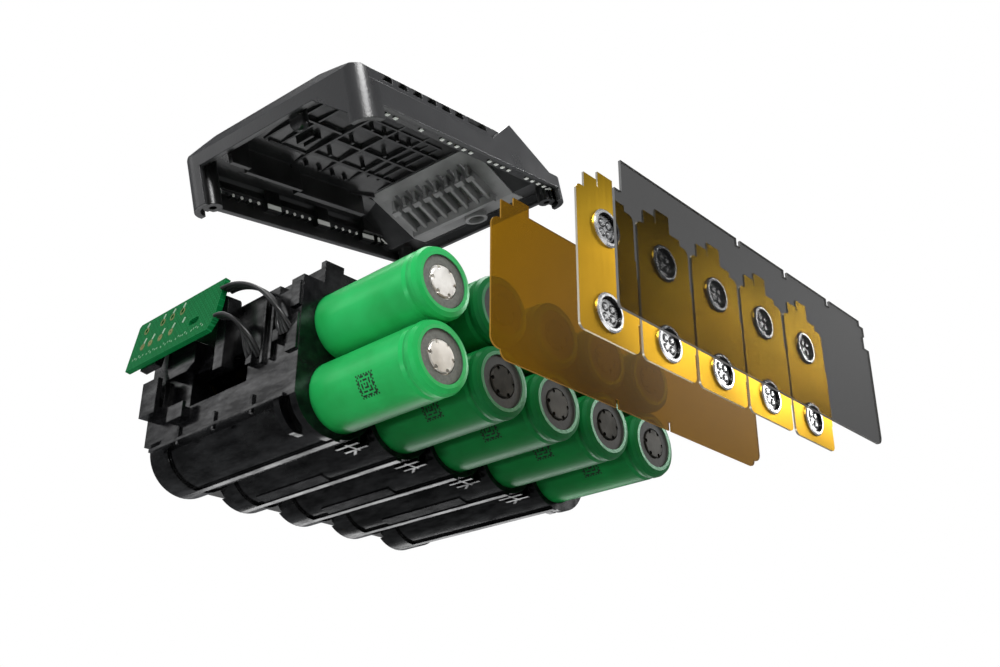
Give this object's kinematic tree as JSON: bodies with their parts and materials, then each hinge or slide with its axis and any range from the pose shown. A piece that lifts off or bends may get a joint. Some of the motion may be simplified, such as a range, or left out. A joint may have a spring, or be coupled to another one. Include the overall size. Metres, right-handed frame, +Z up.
{
  "type": "power tool battery",
  "caption": "Slide-on battery pack shown pulled apart: cells half out of their moulded carrier, contact plates, film and sheet in front, upper case lifted off.",
  "frame": {"origin": "centre of the cell carrier's footprint, on the flat pads that it stands on", "axes": "+X along the row of cell columns towards the terminal end, -Y the way the cells are pulled out, +Z up"},
  "size_m": [0.1375, 0.1947, 0.1435],
  "materials": {
    "cell_steel": "satin",
    "cell_sleeve": "gloss",
    "cell_ring": "matte",
    "contact_metal": "satin",
    "cup_metal": "polished",
    "carrier_plastic": "gloss",
    "amber_film": "translucent, satin",
    "grey_sheet": "translucent, satin",
    "case_plastic": "satin",
    "deck_plastic": "satin",
    "board_green": "gloss",
    "block_plastic": "satin",
    "blade_metal": "satin",
    "wire_black": "satin"
  },
  "bodies": {
    "root": {"cell_can_a1": "cell_steel", "cell_can_a2": "cell_steel", "cell_can_b1": "cell_steel", "cell_can_b2": "cell_steel", "cell_can_c1": "cell_steel", "cell_can_c2": "cell_steel", "cell_can_d1": "cell_steel", "cell_can_d2": "cell_steel", "cell_can_e1": "cell_steel", "cell_can_e2": "cell_steel", "cell_sleeve_a1": "cell_sleeve", "cell_sleeve_a2": "cell_sleeve", "cell_sleeve_b1": "cell_sleeve", "cell_sleeve_b2": "cell_sleeve", "cell_sleeve_c1": "cell_sleeve", "cell_sleeve_c2": "cell_sleeve", "cell_sleeve_d1": "cell_sleeve", "cell_sleeve_d2": "cell_sleeve", "cell_sleeve_e1": "cell_sleeve", "cell_sleeve_e2": "cell_sleeve", "cell_ring_a1": "cell_ring", "cell_ring_a2": "cell_ring", "cell_ring_b1": "cell_ring", "cell_ring_b2": "cell_ring", "cell_ring_c1": "cell_ring", "cell_ring_c2": "cell_ring", "cell_ring_d1": "cell_ring", "cell_ring_d2": "cell_ring", "cell_ring_e1": "cell_ring", "cell_ring_e2": "cell_ring", "contact_plate_a": "contact_metal", "contact_plate_b": "contact_metal", "contact_plate_c": "contact_metal", "contact_plate_d": "contact_metal", "contact_plate_e": "contact_metal", "weld_cups_a": "cup_metal", "weld_cups_b": "cup_metal", "weld_cups_c": "cup_metal", "weld_cups_d": "cup_metal", "weld_cups_e": "cup_metal", "rear_plate_a": "contact_metal", "rear_plate_b": "contact_metal", "rear_plate_c": "contact_metal", "rear_plate_d": "contact_metal", "rear_plate_e": "contact_metal", "cell_carrier": "carrier_plastic", "insulating_film": "amber_film", "insulating_sheet": "grey_sheet", "rear_sheet": "grey_sheet", "upper_case": "case_plastic", "terminal_deck": "deck_plastic", "control_board": "board_green", "terminal_block": "block_plastic", "terminal_blades": "blade_metal", "gauge_board": "board_green", "gauge_socket": "block_plastic", "wires_upper": "wire_black", "wires_lower": "wire_black"}
  },
  "joints": []
}
